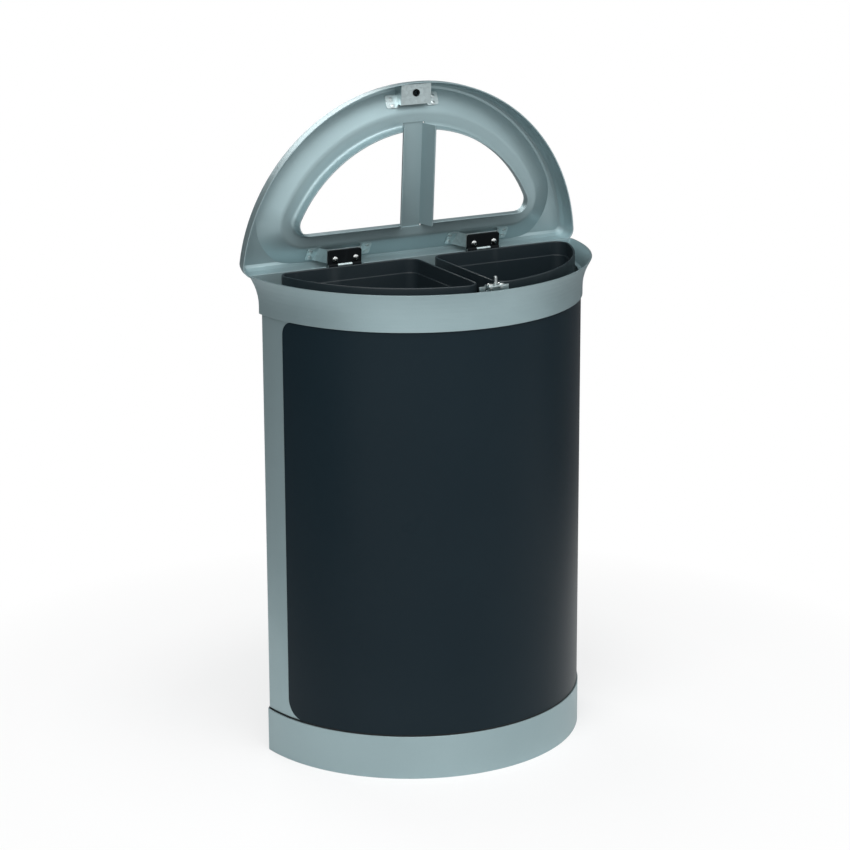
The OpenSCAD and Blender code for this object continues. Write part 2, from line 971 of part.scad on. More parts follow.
// Strap on the inside of the collar's back, rolled round the hinge pin at its top
module hinge_strap(x) {
    w = knuckle_len - 2 * side_gap;
    color([0.60, 0.65, 0.66])
        translate([x, pin_y, pin_z])
            difference() {
                union() {
                    translate([-w / 2, side_gap - strap_wall - pin_y, strap_foot - pin_z])
                        cube([w, strap_wall, pin_z - strap_foot]);
                    rotate([0, 90, 0])
                        hole(knuckle_r, -w / 2, w / 2);
                }
                rotate([0, 90, 0])
                    hole(pin_r + fit_gap, -w, w);
                for (side = [-strap_pitch, strap_pitch])
                    translate([side, 0, strap_foot + strap_rivet_rise - pin_z])
                        facing_back()
                            hole(rivet_r, -far, far);
            }
}

module hinge_strap_left() {
    hinge_strap(-hinge_x);
}

module hinge_strap_right() {
    hinge_strap(hinge_x);
}

module strap_rivets() {
    color([0.72, 0.73, 0.74])
        at_strap_rivets()
            rivet(collar_wall + strap_wall);
}

// Places of the catch's two screws, on top of the shelf
module at_catch_screws() {
    for (x = [-catch_pitch, catch_pitch])
        translate([x, -stud_set, shelf_z])
            children();
}

// Bracket inside the front of the collar: an upright plate that stands on the collar's
// seat, with two wings, folded forward at its top into the shelf for the stud
module catch_bracket() {
    wing_z = shelf_z - wing_drop;
    color([0.78, 0.80, 0.80])
        difference() {
            union() {
                translate([-catch_half, catch_y, seat_z])
                    cube([2 * catch_half, catch_wall, wing_z - seat_z]);
                translate([-shelf_half, catch_y, seat_z])
                    cube([2 * shelf_half, catch_wall, shelf_z - seat_z]);
                plate([-shelf_half, -stud_set - shelf_reach],
                    [shelf_half, catch_y + catch_wall], catch_wall / 2,
                    shelf_z - catch_wall, shelf_z);
            }
            at_catch_screws()
                hole(screw_r, -shelf_rise, over);
            translate([0, -stud_set, shelf_z])
                hole(stud_r, -shelf_rise, over);
            translate([wing_hole_r - shelf_half, catch_y, shelf_z - wing_hole_drop])
                facing_back()
                    hole(wing_hole_r, -over, catch_wall + over);
        }
}

// Upright stud with a round top, riveted through the shelf
module catch_stud() {
    color([0.62, 0.64, 0.66])
        translate([0, -stud_set, shelf_z]) {
            hole(stud_r, -2 * catch_wall, stud_h - stud_r);
            translate([0, 0, stud_h - stud_r])
                sphere(r = stud_r);
        }
}

module catch_screws() {
    color([0.85, 0.86, 0.86])
        at_catch_screws()
            screw(catch_wall);
}

module catch_nuts() {
    color([0.72, 0.73, 0.74])
        at_catch_screws()
            translate([0, 0, -catch_wall - small_nut_h])
                nut(small_nut_r, screw_r, small_nut_h);
}

// Turns what is drawn on the closed lid to the open lid's place
module opened() {
    translate([0, pin_y, pin_z])
        rotate([-open_angle, 0, 0])
            translate([0, -pin_y, -pin_z])
                children();
}

// Rounded shoulder of the lid's outside, or of its inside when wall is its sheet
function shoulder(wall) =
    [for (i = [0:bend_steps]) let (a = 90 * i / bend_steps)
        [lid_z + (lid_h - wall) * sin(a), (lid_shoulder - wall) * (1 - cos(a))]];

// Line of the dished top, lowered by a drop, as insets from the opening (outwards is less
// than zero) and heights: from the lip round a bend to the flat land, then up the slope
function dish_line(drop) =
    [for (p = concat(
        [[drop, lid_z - lip_drop]],
        arc(lip_bend, lid_z + land_h - lip_bend, lip_bend - drop, 180, 90),
        arc(land_w, lid_z + land_h + slope_r - drop, slope_r, 270, 270 + slope),
        [[slope_to + slope_bend, lid_z + slope_h(slope_to + slope_bend) - drop]]))
        [-p[0], p[1]]];

// Points in the opposite order
function backwards(points) =
    [for (i = [len(points) - 1:-1:0]) points[i]];

// Wall and shoulder of the lid as a sheet, and its flat crest a little way inwards
module rim_sheet() {
    outer = [for (s = shoulder(0)) [s[1], s[0]]];
    inner = [for (s = shoulder(lid_wall)) [s[1] + lid_wall, s[0]]];
    crest = lid_corner - lid_wall;
    top = lid_z + lid_h;
    half_sweep(lid_r, lid_back, lid_corner)
        polygon(concat(outer, [[crest, top], [crest, top - lid_wall]], backwards(inner)));
}

// Flat crest in the back corners of the lid, where the slope stays clear of the rim
module corner_crest() {
    c = corner_at(hole_r, -hole_back, hole_corner);
    inset = lid_shoulder + lid_wall;
    top = lid_z + lid_h;
    intersection() {
        half_prism(lid_r - inset, lid_back - inset, lid_corner - inset, top - lid_wall, top);
        translate([c[0], c[1] - slope_to, top - lid_h])
            cube([far, far, lid_h + over]);
    }
}

// Space over the dished top
module dish() {
    points = dish_line(0);
    last = points[len(points) - 1];
    half_sweep(hole_r, -hole_back, hole_corner)
        polygon(concat(points, [[hole_corner, last[1]], [hole_corner, points[0][1]]]));
}

// Sheet of the dished top with its lip, cut off where it meets the lid's shoulder
module dish_sheet() {
    intersection() {
        half_sweep(hole_r, -hole_back, hole_corner)
            polygon(concat(dish_line(0), backwards(dish_line(lid_wall))));
        half_solid(lid_r, lid_back, lid_corner,
            concat([[lid_z - lip_drop - over, 0]], shoulder(0)));
    }
}

// Everything over the underside of the sloping top along the back
module over_slope() {
    translate([-far, slope_from - hole_back, lid_z + land_h - lid_wall])
        rotate([slope, 0, 0])
            translate([0, -far, 0])
                cube([far + far, far + far, far]);
}

// Everything more than a gap under the underside of the sloping top along the back
module under_slope(gap) {
    translate([-far, slope_from - hole_back, lid_z + land_h - lid_wall - gap])
        rotate([slope, 0, 0])
            translate([0, -far, -far])
                cube([far + far, far + far, far]);
}

// Channel section of the divider bar, widened by a gap and cut between two places along Y
module bar_block(gap, from, to, top, low) {
    lean = tan(bar_splay);
    wide_top = bar_web + gap + (bar_top - top) * lean;
    wide_low = bar_web + gap + (bar_top - low) * lean;
    translate([0, to, 0])
        rotate([90, 0, 0])
            linear_extrude(to - from)
                polygon([[-wide_low, low], [wide_low, low], [wide_top, top],
                    [-wide_top, top]]);
}

// Rivets of the hinge brackets' ears on the lid's underside, with Z along the sheet's normal
module at_bracket_rivets() {
    for (x = [-hinge_x, hinge_x])
        for (side = [-1, 1])
            for (d = [ear_from + ear_l / 2 - ear_pitch, ear_from + ear_l / 2 + ear_pitch])
                translate([x + side * (ear_end - ear_inset), d - hole_back,
                    lid_z + slope_h(d) - lid_wall])
                    rotate([slope, 0, 0])
                        children();
}

// Rivets of the striker's ears on the lid's underside, with Z along the sheet's normal
module at_striker_rivets() {
    middle = striker_ear_from + striker_ear_l / 2;
    turn = asin((striker_half + striker_ears) / 2 / (hole_r + middle));
    for (a = [-turn, turn])
        for (d = [middle - ear_pitch, middle + ear_pitch])
            on_centre()
                rotate([0, 0, a])
                    translate([0, -hole_r - d, lid_z + slope_h(d) - lid_wall])
                        rotate([-slope, 0, 0])
                            children();
}

// Rivet through a bracket's ear and the lid, with its head on the ear's underside
module ear_rivet() {
    mirror([0, 0, 1])
        translate([0, 0, hat_wall * cos(slope)])
            rivet((hat_wall + lid_wall) * cos(slope));
}

// Dished lid: a wall with a rounded shoulder, a top that slopes down to a flat land and
// a lip turned down round the opening. The lip ends on both sides of the divider bar.
module lid_shell() {
    color([0.58, 0.64, 0.65])
        opened()
            difference() {
                union() {
                    difference() {
                        union() {
                            rim_sheet();
                            both_sides()
                                corner_crest();
                        }
                        dish();
                    }
                    dish_sheet();
                }
                bar_block(side_gap, bar_front - lip_bend, lip_bend - hole_back,
                    bar_top + over, bar_top - bar_depth - over);
                at_bracket_rivets()
                    hole(rivet_r, -over, lid_wall + over);
                at_striker_rivets()
                    hole(rivet_r, -over, lid_wall + over);
            }
}

// Channel between the two openings: the flanges splay down past the opening's lip and
// the web laps over the flat land at both ends
module divider_bar() {
    low = bar_top - bar_depth;
    side = bar_wall / cos(bar_splay);
    color([0.58, 0.64, 0.65])
        opened() {
            difference() {
                bar_block(0, bar_front - bar_tab, bar_tab - hole_back, bar_top, low);
                bar_block(-side, bar_front - lip_bend - over, lip_bend - hole_back + over,
                    bar_top - bar_wall, low - over);
            }
            plate([-bar_web, bar_front - lip_bend - bar_lap],
                [bar_web, lip_bend + bar_lap - hole_back], lip_bend / 2,
                bar_top - bar_wall, bar_top);
        }
}

// Hat-shaped bracket under the lid: a crown that carries the hinge leaf, two slanted
// cheeks and two riveted ears that follow the lid's slope
module hinge_bracket(x) {
    half = hinge_len / 2 + hat_side;
    rise = lid_z + lid_h - hat_z;
    side = hat_wall / cos(hat_slant);
    near = pin_y - leaf_reach - hat_side;
    back = pin_y - knuckle_r - knuckle_gap;
    color([0.78, 0.80, 0.80])
        opened()
            difference() {
                union() {
                    translate([x - half, near, hat_z])
                        cube([2 * half, back - near, hat_wall]);
                    for (way = [0, 1])
                        translate([x, back, hat_z])
                            mirror([way, 0, 0])
                                rotate([90, 0, 0])
                                    linear_extrude(back - near)
                                        polygon([[half - side, 0], [half, 0],
                                            [half + rise * tan(hat_slant), rise],
                                            [half - side + rise * tan(hat_slant), rise]]);
                    difference() {
                        for (way = [0, 1])
                            translate([x, 0, 0])
                                mirror([way, 0, 0])
                                    plate([ear_at, ear_from - hole_back],
                                        [ear_end, ear_from + ear_l - hole_back], ear_corner,
                                        lid_z, lid_z + lid_h);
                        under_slope(hat_wall);
                    }
                }
                over_slope();
                translate([x, 0, 0])
                    at_leaf_screws()
                        hole(screw_r, 0, leaf_wall + hat_wall + over);
                at_bracket_rivets()
                    hole(rivet_r, -over - hat_wall, over);
            }
}

// Places of one hinge leaf's screws on its underside
module at_leaf_screws() {
    for (side = [-leaf_pitch, leaf_pitch])
        translate([side, pin_y - leaf_screw_set, hat_z - leaf_wall])
            children();
}

module hinge_bracket_left() {
    hinge_bracket(-hinge_x);
}

module hinge_bracket_right() {
    hinge_bracket(hinge_x);
}

// Moulded leaf screwed to the bracket's crown, with a knuckle at each end
module hinge_leaf(x) {
    half = hinge_len / 2;
    color([0.06, 0.06, 0.07])
        opened()
            translate([x, pin_y, pin_z])
                difference() {
                    union() {
                        plate([-half, -leaf_reach], [half, 0], leaf_corner,
                            -leaf_wall / 2, leaf_wall / 2);
                        rotate([0, 90, 0])
                            hole(knuckle_r, -half, half);
                        translate([-half, -knuckle_r, -leaf_wall / 2])
                            cube([hinge_len, knuckle_r, leaf_wall]);
                    }
                    translate([-knuckle_len / 2, -knuckle_r - knuckle_gap, -far])
                        cube([knuckle_len, far, far + far]);
                    rotate([0, 90, 0])
                        hole(pin_r, -hinge_len, hinge_len);
                    translate([0, -pin_y, -pin_z])
                        at_leaf_screws()
                            hole(screw_r, -over, leaf_wall + over);
                }
}

module hinge_leaf_left() {
    hinge_leaf(-hinge_x);
}

module hinge_leaf_right() {
    hinge_leaf(hinge_x);
}

module hinge_pin(x) {
    color([0.72, 0.73, 0.74])
        opened()
            translate([x, pin_y, pin_z])
                rotate([0, 90, 0])
                    hole(pin_r, -hinge_len / 2, hinge_len / 2);
}

module hinge_pin_left() {
    hinge_pin(-hinge_x);
}

module hinge_pin_right() {
    hinge_pin(hinge_x);
}

module hinge_screws() {
    color([0.85, 0.86, 0.86])
        opened()
            for (x = [-hinge_x, hinge_x])
                translate([x, 0, 0])
                    at_leaf_screws()
                        mirror([0, 0, 1])
                            screw(leaf_wall + hat_wall);
}

module hinge_nuts() {
    color([0.72, 0.73, 0.74])
        opened()
            for (x = [-hinge_x, hinge_x])
                translate([x, 0, 0])
                    at_leaf_screws()
                        translate([0, 0, leaf_wall + hat_wall])
                            nut(small_nut_r, screw_r, small_nut_h);
}

module bracket_rivets() {
    color([0.80, 0.82, 0.82])
        opened()
            at_bracket_rivets()
                ear_rivet();
}

// Section of the hollow under the front of the lid, from the slope to the wall
module front_hollow() {
    on_centre()
        rotate([0, 0, 240])
            rotate_extrude(angle = 60)
                polygon(concat(
                    [[hole_r + slope_from, lid_z + land_h - lid_wall],
                        [hole_r + slope_to, lid_z + slope_h(slope_to) - lid_wall]],
                    [for (i = [bend_steps:-1:0]) let (s = shoulder(lid_wall)[i])
                        [lid_r - lid_wall - s[1], s[0]]],
                    [[hole_r + slope_from, lid_z]]));
}

// One sheet's thickness under the slope at the front of the lid
module front_layer() {
    near = lid_z + land_h - lid_wall;
    far_z = lid_z + slope_h(slope_to) - lid_wall;
    on_centre()
        rotate([0, 0, 240])
            rotate_extrude(angle = 60)
                polygon([[hole_r + slope_from, near], [hole_r + slope_to, far_z],
                    [hole_r + slope_to, far_z - hat_wall],
                    [hole_r + slope_from, near - hat_wall]]);
}

// Box under the front of the lid: a face with a hole for the bush, two cheeks and two
// riveted ears that follow the lid's slope
module striker_box() {
    face_z = lid_z + striker_z;
    near = centre_set - hole_r - striker_from;
    ear_y = centre_set - hole_r - striker_ear_from;
    inner = striker_half - hat_wall;
    color([0.62, 0.68, 0.69])
        opened()
            difference() {
                union() {
                    intersection() {
                        front_hollow();
                        union() {
                            translate([-striker_half, near - striker_l, face_z])
                                cube([2 * striker_half, striker_l, hat_wall]);
                            for (x = [-striker_half, inner])
                                translate([x, near - striker_l, face_z])
                                    cube([hat_wall, striker_l, lid_h]);
                        }
                    }
                    intersection() {
                        front_layer();
                        both_sides()
                            plate([inner, ear_y - striker_ear_l], [striker_ears, ear_y],
                                ear_corner, face_z, lid_z + lid_h);
                    }
                }
                translate([0, -stud_set, face_z])
                    hole(bush_r, -over, hat_wall + over);
                at_striker_rivets()
                    hole(rivet_r, -over - hat_wall, over);
            }
}

// Bush in the striker's face that the stud enters when the lid closes
module striker_bush() {
    color([0.06, 0.06, 0.07])
        opened()
            translate([0, -stud_set, lid_z + striker_z])
                difference() {
                    union() {
                        hole(bush_r, -bush_flange, hat_wall + bush_flange);
                        hole(bush_r + bush_flange, -bush_flange, 0);
                        hole(bush_r + bush_flange, hat_wall, hat_wall + bush_flange);
                    }
                    hole(stud_r + stud_play, -far, far);
                }
}

module striker_rivets() {
    color([0.80, 0.82, 0.82])
        opened()
            at_striker_rivets()
                ear_rivet();
}

plinth();
glide_brackets();
glide_nuts();
glide_stem_front_left();
glide_stem_front_right();
glide_stem_back_left();
glide_stem_back_right();
glide_pad_front_left();
glide_pad_front_right();
glide_pad_back_left();
glide_pad_back_right();
trim_strip();
floor_pan();
floor_bolts();
floor_nuts();
shell();
back_panel();
back_rivets();
front_panel();
collar();
collar_rivets();
liner_left();
liner_right();
hinge_strap_left();
hinge_strap_right();
strap_rivets();
catch_bracket();
catch_stud();
catch_screws();
catch_nuts();
lid_shell();
divider_bar();
hinge_bracket_left();
hinge_bracket_right();
hinge_leaf_left();
hinge_leaf_right();
hinge_pin_left();
hinge_pin_right();
hinge_screws();
hinge_nuts();
bracket_rivets();
striker_box();
striker_bush();
striker_rivets();
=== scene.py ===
import bpy
import json
import math
from mathutils import Matrix, Vector

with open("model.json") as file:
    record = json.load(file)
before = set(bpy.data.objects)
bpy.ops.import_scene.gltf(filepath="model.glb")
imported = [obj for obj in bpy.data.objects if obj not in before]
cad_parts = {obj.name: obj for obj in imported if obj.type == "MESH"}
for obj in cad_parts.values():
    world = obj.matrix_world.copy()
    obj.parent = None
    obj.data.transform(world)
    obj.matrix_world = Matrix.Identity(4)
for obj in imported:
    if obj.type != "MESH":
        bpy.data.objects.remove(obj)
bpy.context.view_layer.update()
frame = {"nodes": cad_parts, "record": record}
nodes = frame["nodes"]
print("frame loaded with", len(nodes), "nodes")

white = (1, 1, 1, 1)
unstretched = (1, 1, 1)

# Bands: the two values between which a noise, a cell or an edge goes from none to full.
bands = {"edge": (0.72, 0.995), "cloud": (0.35, 0.65), "flake": (0.45, 0.75),
         "cells": (0, 0.6), "scuff": (0.6, 0.8), "spangle": (0.2, 0.8),
         "tarnish": (0.45, 0.75), "roughCloud": (0.3, 0.7), "roughFlake": (0.4, 0.6),
         "roughScratch": (0.4, 0.7)}

# Octaves of each noise, and how many rays round an edge.
octaves = {"cloud": 4, "flake": 1, "peel": 2, "wave": 3, "scuff": 5, "scratch": 2}
bevelSamples = 6

# Sockets of the Mix node that carry colours: the two that go in and the one that comes
# out.
colourIn = (6, 7)
colourOut = 2


# One material's tree, built node by node with its sockets wired as they are named.
class Recipe:
    def __init__(self, name):
        self.material = bpy.data.materials.new(name)
        self.material.use_nodes = True
        self.tree = self.material.node_tree
        self.tree.nodes.clear()
        self.place = self.add("TexCoord").outputs["Object"]

    def add(self, kind, inputs=None, **options):
        made = self.tree.nodes.new("ShaderNode" + kind)
        for key, value in options.items():
            setattr(made, key, value)
        for key, value in (inputs or {}).items():
            self.feed(made.inputs[key], value)
        return made

    # A socket takes either another node's output or a value of its own.
    def feed(self, socket, value):
        if isinstance(value, bpy.types.NodeSocket):
            self.tree.links.new(value, socket)
        else:
            socket.default_value = value

    # Soft noise between 0 and 1. Stretch scales the place along each axis first.
    def noise(self, scale, detail, stretch=unstretched):
        turned = self.add("Mapping", {"Vector": self.place, "Scale": stretch})
        return self.add("TexNoise", {"Vector": turned.outputs["Vector"], "Scale": scale,
                                     "Detail": detail}).outputs["Fac"]

    # Straight-line map of a value from one band to another, clamped at both ends.
    def span(self, value, band, toLow, toHigh):
        return self.add("MapRange", {"Value": value, "From Min": band[0],
                                     "From Max": band[1], "To Min": toLow,
                                     "To Max": toHigh}).outputs["Result"]

    def combine(self, first, second, operation="ADD"):
        return self.add("Math", {0: first, 1: second}, operation=operation).outputs[0]

    # Colour between two others. A plain colour of three numbers is made opaque.
    def mixColour(self, share, first, second):
        made = self.add("Mix", {0: share}, data_type="RGBA")
        for socket, value in zip(colourIn, (first, second)):
            self.feed(made.inputs[socket], value if isinstance(value, bpy.types.NodeSocket)
                      else (*value, 1))
        return made.outputs[colourOut]

    # Rounded normal, and the share of an edge at each point: one less the agreement of
    # the rounded normal with the true one.
    def edges(self, radius):
        rounded = self.add("Bevel", {"Radius": radius}, samples=bevelSamples).outputs["Normal"]
        true = self.add("NewGeometry").outputs["Normal"]
        agree = self.add("VectorMath", {0: rounded, 1: true}, operation="DOT_PRODUCT")
        return rounded, self.span(agree.outputs["Value"], bands["edge"], 1, 0)

    def bump(self, height, distance, strength, normal):
        return self.add("Bump", {"Height": height, "Distance": distance,
                                 "Strength": strength, "Normal": normal}).outputs["Normal"]

    def finish(self, inputs):
        shade = self.add("BsdfPrincipled", inputs)
        out = self.add("OutputMaterial")
        self.tree.links.new(shade.outputs["BSDF"], out.inputs["Surface"])
        return self.material


# Metallic paint: colour = mix of two greys by cloud noise, plus flake noise, plus dust
# low down, plus lighter edges, partly wear where the paint is thin and partly painted
# highlight; roughness = the same clouds plus the flakes; bump = orange peel.
def metallicPaint(paint):
    recipe = Recipe(paint["name"])
    rounded, edge = recipe.edges(paint["edge"])
    cloud = recipe.noise(paint["cloudScale"], octaves["cloud"])
    flake = recipe.noise(paint["flakeScale"], octaves["flake"])
    peel = recipe.noise(paint["peelScale"], octaves["peel"])
    colour = recipe.mixColour(recipe.span(cloud, bands["cloud"], 0, 1), paint["colour"],
                              paint["shade"])
    colour = recipe.mixColour(recipe.span(flake, bands["flake"], 0, paint["flake"]), colour,
                              paint["flakeColour"])
    height = recipe.add("SeparateXYZ", {0: recipe.place}).outputs["Z"]
    dust = recipe.combine(recipe.span(height, (0, paint["dustHeight"]), paint["dust"], 0), cloud,
                          "MULTIPLY")
    colour = recipe.mixColour(dust, colour, paint["dustColour"])
    # Lighter edges: partly wear where the paint is thin, partly painted highlight.
    colour = recipe.mixColour(recipe.combine(edge, paint["edgeWearAndHighlight"], "MULTIPLY"), colour,
                              paint["flakeColour"])
    rough = recipe.combine(recipe.span(cloud, bands["roughCloud"], *paint["rough"]),
                           recipe.span(flake, bands["roughFlake"], 0, paint["flakeRough"]))
    return recipe.finish({
        "Base Color": colour, "Metallic": paint["metallic"], "Roughness": rough,
        "Specular IOR Level": paint["specular"], "Coat Weight": paint["coat"],
        "Coat Roughness": paint["coatRough"],
        "Normal": recipe.bump(peel, paint["peelDepth"], paint["peelStrength"], rounded)})


# Lengths in all the finishes are in metres, and scales are cells to a metre.
silver = {
    "name": "silverPaint", "colour": (0.297, 0.396, 0.416), "shade": (0.266, 0.360, 0.380),
    "flake": 0.20, "flakeColour": (0.48, 0.58, 0.60), "flakeScale": 2400.0,
    "flakeRough": 0.04, "cloudScale": 3.5, "peelScale": 650.0, "peelDepth": 0.00012,
    "peelStrength": 0.6, "metallic": 0.60, "rough": (0.35, 0.42), "specular": 0.5,
    "coat": 0.10, "coatRough": 0.22, "edge": 0.0012, "edgeWearAndHighlight": 0.30,
    "dustHeight": 0.12, "dust": 0.16, "dustColour": (0.36, 0.40, 0.40)}
dark = {
    "name": "darkPaint", "colour": (0.0042, 0.0115, 0.0168),
    "shade": (0.0056, 0.0135, 0.0190), "flake": 0.10, "flakeColour": (0.022, 0.034, 0.040),
    "flakeScale": 2200.0, "flakeRough": 0.04, "cloudScale": 2.6, "peelScale": 520.0,
    "peelDepth": 0.00012, "peelStrength": 0.6, "metallic": 0.0, "rough": (0.27, 0.34),
    "specular": 0.12, "coat": 0.0, "coatRough": 0.18, "edge": 0.0009, "edgeWearAndHighlight": 0.35,
    "dustHeight": 0.22, "dust": 0.04, "dustColour": (0.10, 0.11, 0.11)}


# Moulded plastic: colour = mix of two blacks by the cells of the mould's grain, lighter
# where it is scuffed, and lighter at the edges, partly wear and partly painted highlight;
# roughness = slow waves plus the scuffs; bump = grain over the same waves.
def mouldedPlastic(plastic):
    recipe = Recipe(plastic["name"])
    rounded, edge = recipe.edges(plastic["edge"])
    cells = recipe.add("TexVoronoi", {"Vector": recipe.place, "Scale": plastic["grainScale"]},
                       feature="SMOOTH_F1").outputs["Distance"]
    wave = recipe.noise(plastic["waveScale"], octaves["wave"])
    scuff = recipe.noise(plastic["scuffScale"], octaves["scuff"],
                         plastic["scuffStretch"])
    colour = recipe.mixColour(recipe.span(cells, bands["cells"], 0, 1), plastic["colour"],
                              plastic["shade"])
    colour = recipe.mixColour(recipe.span(scuff, bands["scuff"], 0, plastic["scuff"]), colour,
                              plastic["scuffColour"])
    # Lighter edges: partly wear, partly painted highlight.
    colour = recipe.mixColour(recipe.combine(edge, plastic["edgeWearAndHighlight"], "MULTIPLY"), colour,
                              plastic["scuffColour"])
    rough = recipe.combine(recipe.span(wave, bands["roughCloud"], *plastic["rough"]),
                           recipe.span(scuff, bands["scuff"], 0, plastic["scuffRough"]))
    height = recipe.combine(recipe.combine(cells, plastic["grain"], "MULTIPLY"),
                            recipe.combine(wave, plastic["wave"], "MULTIPLY"))
    return recipe.finish({
        "Base Color": colour, "Roughness": rough, "Specular IOR Level": plastic["specular"],
        "Normal": recipe.bump(height, plastic["depth"], plastic["depthStrength"], rounded)})


linerBlack = {
    "name": "linerPlastic", "colour": (0.0130, 0.0212, 0.0262),
    "shade": (0.0095, 0.0158, 0.0195), "grainScale": 900.0, "grain": 0.6, "waveScale": 9.0,
    "wave": 2.0, "depth": 0.00022, "depthStrength": 0.7, "scuffScale": 26.0,
    "scuffStretch": (1, 1, 0.14), "scuff": 0.30, "scuffRough": 0.12,
    "scuffColour": (0.050, 0.060, 0.065), "rough": (0.34, 0.44), "specular": 0.4,
    "edge": 0.0014, "edgeWearAndHighlight": 0.35}
smallBlack = dict(linerBlack, name="blackPlastic", colour=(0.0070, 0.0085, 0.0098),
                  shade=(0.0050, 0.0062, 0.0072), grainScale=1600.0, rough=(0.46, 0.56),
                  specular=0.05, edgeWearAndHighlight=0.20, edge=0.0008)
rubberBlack = dict(linerBlack, name="trimRubber", colour=(0.0080, 0.0092, 0.0100),
                   shade=(0.0058, 0.0067, 0.0073), rough=(0.62, 0.74), specular=0.3,
                   grainScale=1300.0, edge=0.0006)


# Bare metal: colour = mix of two tones by spangle cells, duller in tarnish clouds, lighter
# at the edges, partly wear and partly painted highlight; roughness = the same clouds plus
# long fine scratches, which also give the bump.
def bareMetal(metal):
    recipe = Recipe(metal["name"])
    rounded, edge = recipe.edges(metal["edge"])
    spangle = recipe.add("TexVoronoi", {"Vector": recipe.place, "Scale": metal["spangleScale"]},
                         feature="F1").outputs["Color"]
    tone = recipe.add("RGBToBW", {0: spangle}).outputs["Val"]
    cloud = recipe.noise(metal["cloudScale"], octaves["cloud"])
    scratch = recipe.noise(metal["scratchScale"], octaves["scratch"],
                           metal["scratchStretch"])
    colour = recipe.mixColour(recipe.span(tone, bands["spangle"], 0, metal["spangle"]),
                              metal["colour"], metal["shade"])
    colour = recipe.mixColour(recipe.span(cloud, bands["tarnish"], 0, metal["tarnish"]), colour,
                              metal["tarnishColour"])
    # Lighter edges: partly wear, partly painted highlight.
    colour = recipe.mixColour(recipe.combine(edge, metal["edgeWearAndHighlight"], "MULTIPLY"), colour,
                              metal["colour"])
    rough = recipe.combine(recipe.span(cloud, bands["roughCloud"], *metal["rough"]),
                           recipe.span(scratch, bands["roughScratch"], 0,
                                       metal["scratchRough"]))
    return recipe.finish({
        "Base Color": colour, "Metallic": metal["metallic"], "Roughness": rough,
        "Normal": recipe.bump(scratch, metal["scratchDepth"], metal["scratchStrength"], rounded)})


zinc = {
    "name": "zincPlate", "colour": (0.56, 0.65, 0.66), "shade": (0.44, 0.52, 0.53),
    "metallic": 1.0, "spangleScale": 210.0, "spangle": 0.75, "cloudScale": 24.0,
    "tarnish": 0.35, "tarnishColour": (0.34, 0.38, 0.37), "rough": (0.27, 0.40),
    "scratchScale": 190.0, "scratchStretch": (1, 6, 6), "scratchRough": 0.1,
    "scratchDepth": 0.00008, "scratchStrength": 0.5, "edge": 0.0006, "edgeWearAndHighlight": 0.5}
plainSteel = dict(zinc, name="plainSteel", colour=(0.40, 0.43, 0.43),
                  shade=(0.32, 0.35, 0.355), spangleScale=900.0, rough=(0.30, 0.42))
rivetMetal = dict(zinc, name="rivetMetal", colour=(0.56, 0.62, 0.62),
                  shade=(0.48, 0.54, 0.55), spangleScale=1400.0, rough=(0.28, 0.36))
brightScrew = dict(zinc, name="brightScrew", colour=(0.80, 0.82, 0.81),
                   shade=(0.72, 0.74, 0.74), spangleScale=1800.0, spangle=0.3,
                   tarnish=0.12, rough=(0.12, 0.20), scratchScale=500.0)

materials = {
    "silver_paint": metallicPaint(silver), "dark_paint": metallicPaint(dark),
    "liner_plastic": mouldedPlastic(linerBlack), "black_plastic": mouldedPlastic(smallBlack),
    "trim_rubber": mouldedPlastic(rubberBlack), "zinc_plate": bareMetal(zinc),
    "plain_steel": bareMetal(plainSteel), "rivet_metal": bareMetal(rivetMetal),
    "bright_screw": bareMetal(brightScrew)}
slots = {row["node"]: row["material_slot"] for row in frame["record"]["subparts"]}
for name, piece in nodes.items():
    piece.data.materials.clear()
    piece.data.materials.append(materials[slots[name]])
print("materials made:", len(materials))


# Pale floor. The camera sees it white; round the bin, shadow = share of its real shading,
# which runs from full at the first fade radius to none at the second. To other rays the
# floor is pale near the bin and ahead of it, and farther out at its sides and back its colour
# is darkened to a painted shade. Sizes are in metres.
floorSizes = {"side": 12.0, "pale": (0.84, 0.84, 0.84), "paintedShadeColour": (0.26, 0.26, 0.265),
              "shadow": 0.36, "fade": (0.45, 1.05), "spread": 0.45, "ahead": (-0.5, 0.3),
              "out": (0.7, 1.7)}


